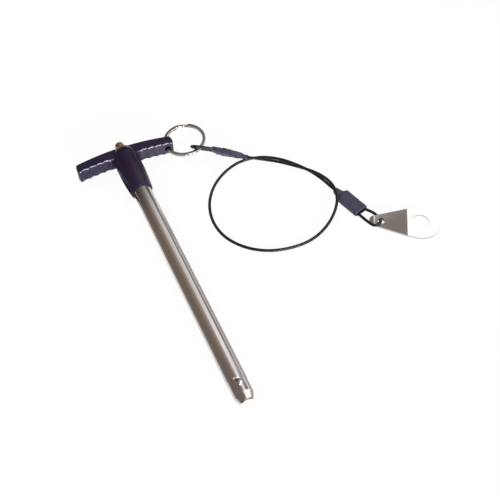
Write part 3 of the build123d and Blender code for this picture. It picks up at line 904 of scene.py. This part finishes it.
@dataclass
class ShrinkSleeve:
    """Heat-shrink tube over a crimp: flat over the metal, drawn in round the rope at its tail.

    Its lengths are in millimetres. Its folds have their frequencies along it, across its width
    and across its thickness.
    """

    node: str
    crimp: Crimp
    leaving: LeavingSide
    crease: float
    sections: tuple[tuple[float, float, float, float], ...]
    length: float = 24.5
    wall: float = 0.4
    around: int = 64
    squareness: float = 0.42
    station_step: float = 0.35
    broad_folds: tuple[float, float, float] = (0.35, 1.7, 1.1)
    fine_folds: tuple[float, float, float] = (0.9, 3.0, 2.0)
    fine_share: float = 0.5
    sideways_share: float = 0.5

    def size_at(self, along: float) -> tuple[float, float, float]:
        """The sleeve's size at a place, eased between its sections.

        Args:
            along: The distance from the mouth.

        Returns:
            Its width, thickness and sideways offset.
        """
        rows = self.sections
        for before, after in zip(rows, rows[1:]):
            if along <= after[0]:
                share = (along - before[0]) / (after[0] - before[0])
                eased = share * share * (3 - 2 * share)
                return tuple(low + (high - low) * eased for low, high in zip(before[1:], after[1:]))
        return rows[-1][1:]

    def fold_at(self, along: float, wide: float, thick: float) -> float:
        """How far a fold of the film stands out: a broad one, with a finer one on it.

        Args:
            along: The distance from the mouth.
            wide: The place across the width, from -1 to 1.
            thick: The place across the thickness, from -1 to 1.

        Returns:
            The height, which is below 0 in a hollow.
        """
        broad, fine = (
            Vector((along * often[0], wide * often[1], thick * often[2]))
            for often in (self.broad_folds, self.fine_folds)
        )
        broad.z += self.crease
        return self.crease * (noise.noise(broad) + noise.noise(fine) * self.fine_share)

    def lay_out(self, verts: list[bmesh.types.BMVert], along: float) -> None:
        """Moves a ring of vertices onto the section at a distance from the mouth.

        Args:
            verts: The ring, in order.
            along: The distance.
        """
        width, thickness, offset = self.size_at(along)
        for number, vert in enumerate(verts):
            angle = 2 * pi * number / len(verts)
            wide, thick = (
                copysign(abs(reach) ** self.squareness, reach) for reach in (cos(angle), sin(angle))
            )
            fold = self.fold_at(along, wide, thick)
            vert.co = self.crimp.point(
                along - self.length / 2,
                wide * (width / 2 + fold * self.sideways_share) + self.leaving.value * offset,
                thick * (thickness / 2 + fold),
            )

    def build(self) -> bpy.types.Object:
        """Draws the tube out from its mouth and gives it its wall.

        Returns:
            The sleeve, standing for its plain solid.
        """
        shape = bmesh.new()
        count = ceil(self.length / self.station_step)
        stations = [self.length * number / count for number in range(count + 1)]
        draw_tube(shape, self.around, stations, self.lay_out)
        bmesh.ops.recalc_face_normals(shape, faces=shape.faces)
        bmesh.ops.solidify(shape, geom=list(shape.faces), thickness=self.wall * MM)
        cap_and_smooth(shape)
        sleeve = make_object(f"shrink_{self.node}", shape)
        SLEEVE_PLASTIC.dress(sleeve)
        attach(sleeve, "lanyard")
        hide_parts(self.node)
        return sleeve


# ---------------------------------------------------------------------------- pin and fittings
@dataclass
class DressedSolids:
    """Pieces that keep the model's own solids: a finish for each node."""

    finishes: dict[str, Finish]

    def build(self) -> list[bpy.types.Object]:
        """Gives each solid its finish.

        Returns:
            The solids' objects.
        """
        pieces = [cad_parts[node] for node in self.finishes]
        for piece, finish in zip(pieces, self.finishes.values()):
            finish.dress(piece)
        return pieces


@dataclass
class Pin(DressedSolids):
    """The shank, its balls, the button and spindle, and the moulded handle."""

    finishes: dict[str, Finish] = field(
        default_factory=lambda: {
            "shank": SHANK_STEEL,
            "ball_upper": BALL_STEEL,
            "ball_lower": BALL_STEEL,
            "spindle": INNER_STEEL,
            "spring_seat": INNER_STEEL,
            "retaining_collar": INNER_STEEL,
            "button": BUTTON_BRASS,
            "handle": HANDLE_PLASTIC,
        }
    )


@dataclass
class LanyardFittings(DressedSolids):
    """The split ring, the crimps under the sleeves, and the tab."""

    finishes: dict[str, Finish] = field(
        default_factory=lambda: {
            "split_ring": RING_STEEL,
            "ferrule_ring_end": CRIMP_METAL,
            "ferrule_tab_end": CRIMP_METAL,
            "tab": TAB_STEEL,
        }
    )


@dataclass
class ReturnSpring:
    """The coil spring under the button, built at one length; the real one shortens as the button goes
    in.
    """

    foot: Vector = field(default_factory=lambda: Vector((0.0, 26.25, 0.253)) * MM)
    along: Vector = field(default_factory=lambda: Vector((0.0, 1.0, 0.0096)).normalized())
    mean_radius: float = 3.8 * MM
    wire: float = 0.8 * MM
    turns: int = 5
    height: float = 7.79 * MM
    pressed_share: float = 0.465
    around: int = 12
    steps_per_turn: int = 48

    def build(self) -> bpy.types.Object:
        """Screws the wire's section round the pin's line and caps its ends.

        Returns:
            The spring, standing for its plain solid.
        """
        shape = bmesh.new()
        section = Matrix.Translation((self.mean_radius, 0, 0)) @ Matrix.Rotation(pi / 2, 4, "X")
        bmesh.ops.create_circle(
            shape, cap_ends=False, radius=self.wire / 2, segments=self.around, matrix=section
        )
        first = list(shape.edges)
        steps = self.turns * self.steps_per_turn
        end = bmesh.ops.spin(
            shape,
            geom=[*shape.verts, *first],
            cent=(0, 0, 0),
            axis=(0, 0, 1),
            dvec=(0, 0, self.height / steps),
            angle=2 * pi * self.turns,
            steps=steps,
        )["geom_last"]
        last = [item for item in end if isinstance(item, bmesh.types.BMEdge)]
        cap_and_smooth(shape, first, last)
        upright = self.along.to_track_quat("Z", "Y").to_matrix().to_4x4()
        bmesh.ops.transform(shape, matrix=Matrix.Translation(self.foot) @ upright, verts=shape.verts)
        spring = make_object("return_coil", shape)
        SPRING_STEEL.dress(spring)
        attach(spring, "pin")
        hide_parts("return_spring")
        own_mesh(spring)
        return spring


# ---------------------------------------------------------------------------- studio
WHITE = "#FFFFFF"
LIT_SPOT = Vector((0.04, -0.06, 0.0))


def white_to_the_eye(tree: bpy.types.NodeTree, glossy_share: float) -> bpy.types.NodeSocket:
    """How white a ray sees the background: 1 for the camera and for glass, a share for gloss.

    Args:
        tree: The tree of the world or the floor.
        glossy_share: The factor for a glossy ray.

    Returns:
        The factor's socket.
    """
    path = add_node(tree, "ShaderNodeLightPath").outputs
    glossy = add_node(
        tree,
        "ShaderNodeMath",
        {"operation": "MULTIPLY"},
        {0: path["Is Glossy Ray"], 1: glossy_share},
    ).outputs[0]
    white = path["Is Camera Ray"]
    for other in (path["Is Transmission Ray"], glossy):
        white = add_node(
            tree, "ShaderNodeMath", {"operation": "MAXIMUM"}, {0: white, 1: other}
        ).outputs[0]
    return white


def make_sheet(placed: Matrix) -> bmesh.types.BMesh:
    """Draws one square face.

    Args:
        placed: Its place and its half sizes.

    Returns:
        The shape.
    """
    shape = bmesh.new()
    bmesh.ops.create_grid(shape, x_segments=1, y_segments=1, size=1.0, matrix=placed)
    return shape


@dataclass(frozen=True)
class Card:
    """A glowing sheet that mirrored rays alone can see: it gives metal its light and dark bands."""

    name: str
    strength: float = field(default=1.0, kw_only=True)

    def shape(self) -> bmesh.types.BMesh:
        """Draws the sheet and returns its shape."""
        raise NotImplementedError

    def shade(
        self, tree: bpy.types.NodeTree
    ) -> bpy.types.NodeSocket | tuple[float, float, float, float]:
        """Returns the sheet's colour, or the socket of a colour that changes along it."""
        raise NotImplementedError

    def hang(self) -> None:
        """Makes the card and leaves it to mirrored rays."""
        card = make_object(self.name, self.shape())
        material, tree = make_material(self.name)
        glow = add_node(
            tree,
            "ShaderNodeEmission",
            inputs={"Color": self.shade(tree), "Strength": self.strength},
        )
        add_node(tree, "ShaderNodeOutputMaterial", inputs={"Surface": glow.outputs[0]})
        card.data.materials.append(material)
        card.visible_camera = False
        card.visible_diffuse = False
        card.visible_shadow = False
        card.visible_transmission = False


@dataclass(frozen=True)
class Tent(Card):
    """A curved card round the pin's long direction, shaded from one side to the other.

    Each of its stops is an angle, in degrees from overhead towards +X, and the colour there. Its
    front end is the one nearer to the pin's tip, and both ends are places along Y.
    """

    stops: tuple[tuple[float, str], ...]
    front: float
    back: float
    radius: float = 1.3
    facets: int = 48

    def shape(self) -> bmesh.types.BMesh:
        """Turns an edge round the pin's line.

        Returns:
            The sheet's shape.
        """
        start, end = radians(self.stops[0][0]), radians(self.stops[-1][0])
        shape = bmesh.new()
        ends = [
            shape.verts.new((self.radius * sin(start), y, self.radius * cos(start)))
            for y in (self.front, self.back)
        ]
        bmesh.ops.spin(
            shape,
            geom=[*ends, shape.edges.new(ends)],
            cent=(0, 0, 0),
            axis=(0, 1, 0),
            angle=end - start,
            steps=self.facets,
        )
        return shape

    def shade(self, tree: bpy.types.NodeTree) -> bpy.types.NodeSocket:
        """Runs the stops' colours round the pin's line.

        Args:
            tree: The card's tree.

        Returns:
            The colour's socket.
        """
        start, end = self.stops[0][0], self.stops[-1][0]
        place = add_node(tree, "ShaderNodeTexCoord").outputs["Object"]
        sideways, _, upwards = add_node(tree, "ShaderNodeSeparateXYZ", inputs={0: place}).outputs
        angle = add_node(
            tree, "ShaderNodeMath", {"operation": "ARCTAN2"}, {0: sideways, 1: upwards}
        ).outputs[0]
        share = add_node(
            tree, "ShaderNodeMapRange", inputs={0: angle, 1: radians(start), 2: radians(end)}
        )
        ramp = add_node(tree, "ShaderNodeValToRGB", inputs={0: share.outputs[0]})
        elements = ramp.color_ramp.elements
        for number, (at, colour) in enumerate(self.stops):
            position = (at - start) / (end - start)
            if number < len(elements):
                element = elements[number]
                element.position = position
            else:
                element = elements.new(position)
            element.color = linear(colour)
        return ramp.outputs[0]


@dataclass(frozen=True)
class PlainCard(Card):
    """A flat card of one colour."""

    colour: str

    def shade(self, tree: bpy.types.NodeTree) -> tuple[float, float, float, float]:
        """Returns the one colour, which needs nothing of the tree."""
        return linear(self.colour)


@dataclass(frozen=True)
class Flag(PlainCard):
    """A level card above the floor, from left to right along X and from front to back along Y."""

    left: float
    right: float
    front: float
    back: float
    height: float = 0.01 * MM

    def shape(self) -> bmesh.types.BMesh:
        """Draws the sheet and returns its shape."""
        across, along = (self.left + self.right) / 2, (self.front + self.back) / 2
        size = Matrix.Diagonal(((self.right - self.left) / 2, (self.back - self.front) / 2, 1, 1))
        return make_sheet(Matrix.Translation((across, along, FLOOR_LEVEL + self.height)) @ size)


@dataclass(frozen=True)
class Wall(PlainCard):
    """A card that stands upright across the pin's long direction, at a distance along Y."""

    distance: float
    half_width: float = 1.3
    half_height: float = 0.66
    middle: float = 0.65

    def shape(self) -> bmesh.types.BMesh:
        """Draws the sheet and returns its shape."""
        upright = Matrix.Rotation(pi / 2, 4, "X")
        size = Matrix.Diagonal((self.half_width, self.half_height, 1, 1))
        return make_sheet(Matrix.Translation((0.0, self.distance, self.middle)) @ upright @ size)


@dataclass(frozen=True)
class Lamp:
    """A rectangular soft light that faces the pin: its width is along X and its power in watts."""

    name: str
    place: tuple[float, float, float]
    width: float
    depth: float
    power: float
    colour: str
    mirrored: bool = False

    def hang(self) -> None:
        """Makes the light, which metal shows only where it is mirrored."""
        data = bpy.data.lights.new(self.name, "AREA")
        data.shape = "RECTANGLE"
        data.size = self.width
        data.size_y = self.depth
        data.energy = self.power
        data.color = linear(self.colour)[:3]
        lamp = bpy.data.objects.new(self.name, data)
        lamp.location = self.place
        aim = LIT_SPOT - Vector(self.place)
        lamp.rotation_euler = aim.to_track_quat("-Z", "Y").to_euler()
        lamp.visible_glossy = self.mirrored
        bpy.context.scene.collection.objects.link(lamp)


# A wide panel above and behind, a low panel in front, and a key light on the left.
LAMPS = (
    Lamp("back_panel", (0.30, 0.60, 1.00), 0.80, 0.30, 3.0, "#FFFCF4"),
    Lamp("low_front", (0.08, -0.95, 0.24), 0.60, 0.12, 11.0, "#F4F4FF", mirrored=True),
    Lamp("key", (-0.80, 0.30, 0.95), 0.35, 0.35, 7.0, "#FFFDF8"),
)

# Tents over the back and the front, with brighter windows inside them, walls at both ends, and
# flags close to the floor. Each flag is for the piece that it lies next to.
CARDS = (
    Tent(
        "back_tent",
        (
            (-90.0, "#7E736C"),
            (-35.0, "#85786F"),
            (-10.0, "#A09289"),
            (38.0, "#FFFDFA"),
            (52.0, "#FFFDFA"),
            (58.0, "#8A8789"),
            (66.0, "#8A8789"),
            (90.0, "#E6E2E4"),
        ),
        front=0.47,
        back=1.05,
    ),
    Tent(
        "far_tent",
        (
            (-91.0, "#2A2624"),
            (-35.0, "#3A3431"),
            (0.0, "#665D58"),
            (28.0, "#7A716B"),
            (55.0, "#3A3532"),
            (90.0, "#3A3532"),
        ),
        front=1.05,
        back=2.2,
    ),
    Tent(
        "ring_window",
        ((25.0, WHITE), (85.0, WHITE)),
        front=-0.18,
        back=0.3,
        radius=1.285,
        strength=1.3,
    ),
    Tent(
        "window",
        ((22.0, WHITE), (50.0, WHITE)),
        front=0.46,
        back=0.61,
        radius=1.27,
        strength=1.25,
    ),
    Tent(
        "tip_window",
        ((2.0, "#A09690"), (16.0, WHITE), (38.0, WHITE)),
        front=0.33,
        back=0.46,
        radius=1.28,
        strength=1.2,
    ),
    Tent(
        "lead_window",
        ((0.0, "#A09690"), (12.0, WHITE), (80.0, WHITE)),
        front=-0.8,
        back=-0.2,
        radius=1.29,
        strength=1.6,
    ),
    Tent("front_left_tent", ((-91.0, "#7E736C"), (-5.0, "#897E77")), front=-1.6, back=0.47),
    Tent(
        "front_right_tent",
        ((-5.0, "#897E77"), (30.0, "#6E635C"), (75.0, "#6E635C")),
        front=-0.1,
        back=0.45,
    ),
    Wall("front_wall", "#3A3633", -1.6),
    Wall("back_wall", "#2E2A28", 2.2),
    Flag("near_left_flag", "#9A9490", -0.042, -0.022, -0.6, 0.01),
    Flag("far_left_flag", "#857D78", -1.2, -0.042, -0.6, 1.2),
    Flag("left_edge_flag", WHITE, -0.022, -0.0055, -0.17, -0.002),
    Flag("right_flag", "#C4C1C2", 0.011, 0.40, -0.3, -0.005),
    Flag("left_bar_flag", "#333338", -0.042, -0.0085, 0.004, 0.0265),
    Flag("right_bar_flag", "#F2F2F6", 0.0085, 0.042, 0.004, 0.0265),
    Flag("front_flag", "#3A3735", -0.08, 0.15, -0.60, -0.172),
    Flag("end_flag", WHITE, -0.012, 0.010, -0.172, -0.163, strength=1.5),
    Flag("tab_flag", WHITE, 0.140, 0.185, -0.125, -0.065),
    Flag("tip_flag", "#6E6C62", 0.160, 0.199, -0.036, 0.006, height=0.108),
)


@dataclass
class Studio:
    """The room, the floor, the lamps and cards, and the camera."""

    room_colour: str = "#FFFDFA"
    room_light: float = 0.55
    floor_size: float = 4.0
    floor_gap: float = 0.02 * MM
    floor_colour: str = "#F2F1EF"
    floor_white: float = 0.94
    floor_in_gloss: float = 0.3
    camera_place: Vector = field(default_factory=lambda: Vector((-76.4, -332.5, 378.0)) * MM)
    camera_target: Vector = field(default_factory=lambda: Vector((43.50, -72.29, 0.0)) * MM)
    lens: float = 55.98
    nearest_seen: float = 0.01

    def world(self) -> None:
        """Fills the room with an even light that the camera sees as plain white."""
        world = bpy.data.worlds.new("studio")
        bpy.context.scene.world = world
        world.use_nodes = True
        tree = world.node_tree
        tree.nodes.clear()
        room = add_node(
            tree,
            "ShaderNodeBackground",
            inputs={"Color": linear(self.room_colour), "Strength": self.room_light},
        )
        white = add_node(
            tree, "ShaderNodeBackground", inputs={"Color": linear(WHITE), "Strength": 1.0}
        )
        mix = add_node(
            tree,
            "ShaderNodeMixShader",
            inputs={0: white_to_the_eye(tree, 1.0), 1: room.outputs[0], 2: white.outputs[0]},
        )
        add_node(tree, "ShaderNodeOutputWorld", inputs={"Surface": mix.outputs[0]})

    def floor(self) -> None:
        """Lays a wide white sheet that keeps a faint shadow, a hair below the part."""
        level = Matrix.Translation((0, 0, FLOOR_LEVEL - self.floor_gap))
        floor = make_object("floor", make_sheet(level @ Matrix.Scale(self.floor_size / 2, 4)))
        material, tree = make_material("white_sheet")
        paper = add_node(
            tree, "ShaderNodeBsdfDiffuse", inputs={"Color": linear(self.floor_colour)}
        )
        white = add_node(
            tree, "ShaderNodeEmission", inputs={"Color": linear(WHITE), "Strength": 1.0}
        )
        factor = add_node(
            tree,
            "ShaderNodeMath",
            {"operation": "MULTIPLY"},
            {0: white_to_the_eye(tree, self.floor_in_gloss), 1: self.floor_white},
        )
        mix = add_node(
            tree,
            "ShaderNodeMixShader",
            inputs={0: factor.outputs[0], 1: paper.outputs[0], 2: white.outputs[0]},
        )
        add_node(tree, "ShaderNodeOutputMaterial", inputs={"Surface": mix.outputs[0]})
        floor.data.materials.append(material)

    def camera(self) -> None:
        """Sets the camera over the pin's tip and to its left."""
        data = bpy.data.cameras.new("camera")
        data.lens = self.lens
        data.clip_start = self.nearest_seen
        camera = bpy.data.objects.new("camera", data)
        camera.location = self.camera_place
        aim = self.camera_target - self.camera_place
        camera.rotation_euler = aim.to_track_quat("-Z", "Y").to_euler()
        bpy.context.scene.collection.objects.link(camera)
        bpy.context.scene.camera = camera

    def build(self) -> None:
        """Sets the whole studio up."""
        bpy.context.scene.view_settings.view_transform = "Standard"
        self.world()
        self.floor()
        for fitting in (*LAMPS, *CARDS):
            fitting.hang()
        self.camera()


def main() -> None:
    """Sets the studio up, dresses the model's solids and makes the lanyard's soft pieces."""
    logging.basicConfig(level=logging.INFO, format="%(name)s: %(message)s")
    Studio().build()
    for piece in [*Pin().build(), *LanyardFittings().build()]:
        log.info("dressed %s", piece.name)
    rope = LanyardRope()
    ring, tab = rope.ring_crimp, rope.tab_crimp
    sleeves = [
        ShrinkSleeve("sleeve_ring_end", ring, LeavingSide.LOWER, 0.6, DRAWN_IN_MOUTH).build(),
        ShrinkSleeve("sleeve_tab_end", tab, LeavingSide.UPPER, 0.16, SHOULDERED_TAIL).build(),
    ]
    for piece in [ReturnSpring().build(), *sleeves, rope.build(sleeves)]:
        log.info("built %s with %d faces", piece.name, len(piece.data.polygons))


if __name__ == "__main__":
    main()
